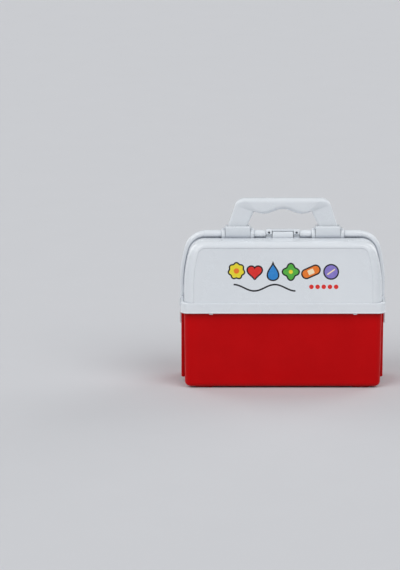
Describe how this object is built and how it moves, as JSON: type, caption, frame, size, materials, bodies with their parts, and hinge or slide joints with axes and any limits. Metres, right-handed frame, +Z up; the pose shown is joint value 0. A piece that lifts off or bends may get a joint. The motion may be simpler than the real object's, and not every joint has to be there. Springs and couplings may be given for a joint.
{
  "type": "toy doctor case",
  "caption": "Toy doctor's case: red tub under white lid halves that hinge outwards to front and back, with a latch on top and a folding carry handle.",
  "frame": {"origin": "centre of the case's footprint, on the surface that it stands on", "axes": "+X to the right of someone facing the front, +Y to the back, +Z up; the front lid faces -Y"},
  "size_m": [0.2216, 0.081, 0.202],
  "materials": {
    "white_plastic": "smooth moulded, semi-gloss",
    "red_plastic": "smooth moulded, semi-gloss",
    "steel": "drawn wire"
  },
  "bodies": {
    "tub": {"tub": "red_plastic", "front_left_hinge_pin": "steel", "front_right_hinge_pin": "steel", "rear_left_hinge_pin": "steel", "rear_right_hinge_pin": "steel"},
    "front_lid": {"front_lid": "white_plastic"},
    "rear_lid": {"rear_lid": "white_plastic", "left_handle_pin": "steel", "right_handle_pin": "steel", "latch_pin": "steel"},
    "handle": {"handle": "white_plastic"},
    "latch": {"latch": "white_plastic"}
  },
  "joints": [
    {"name": "front_lid_hinge", "type": "hinge", "parent": "tub", "child": "front_lid", "pos_m": [0, -0.0377, 0.0842], "axis": [1, 0, 0], "range_deg": [0, 92]},
    {"name": "rear_lid_hinge", "type": "hinge", "parent": "tub", "child": "rear_lid", "pos_m": [0, 0.0377, 0.0842], "axis": [-1, 0, 0], "range_deg": [0, 92]},
    {"name": "handle_fold", "type": "hinge", "parent": "rear_lid", "child": "handle", "pos_m": [0, 0.002, 0.164], "axis": [-1, 0, 0], "range_deg": [0, 85]},
    {"name": "latch_swing", "type": "hinge", "parent": "rear_lid", "child": "latch", "pos_m": [0, 0.0066, 0.1617], "axis": [-1, 0, 0], "range_deg": [0, 100]}
  ]
}
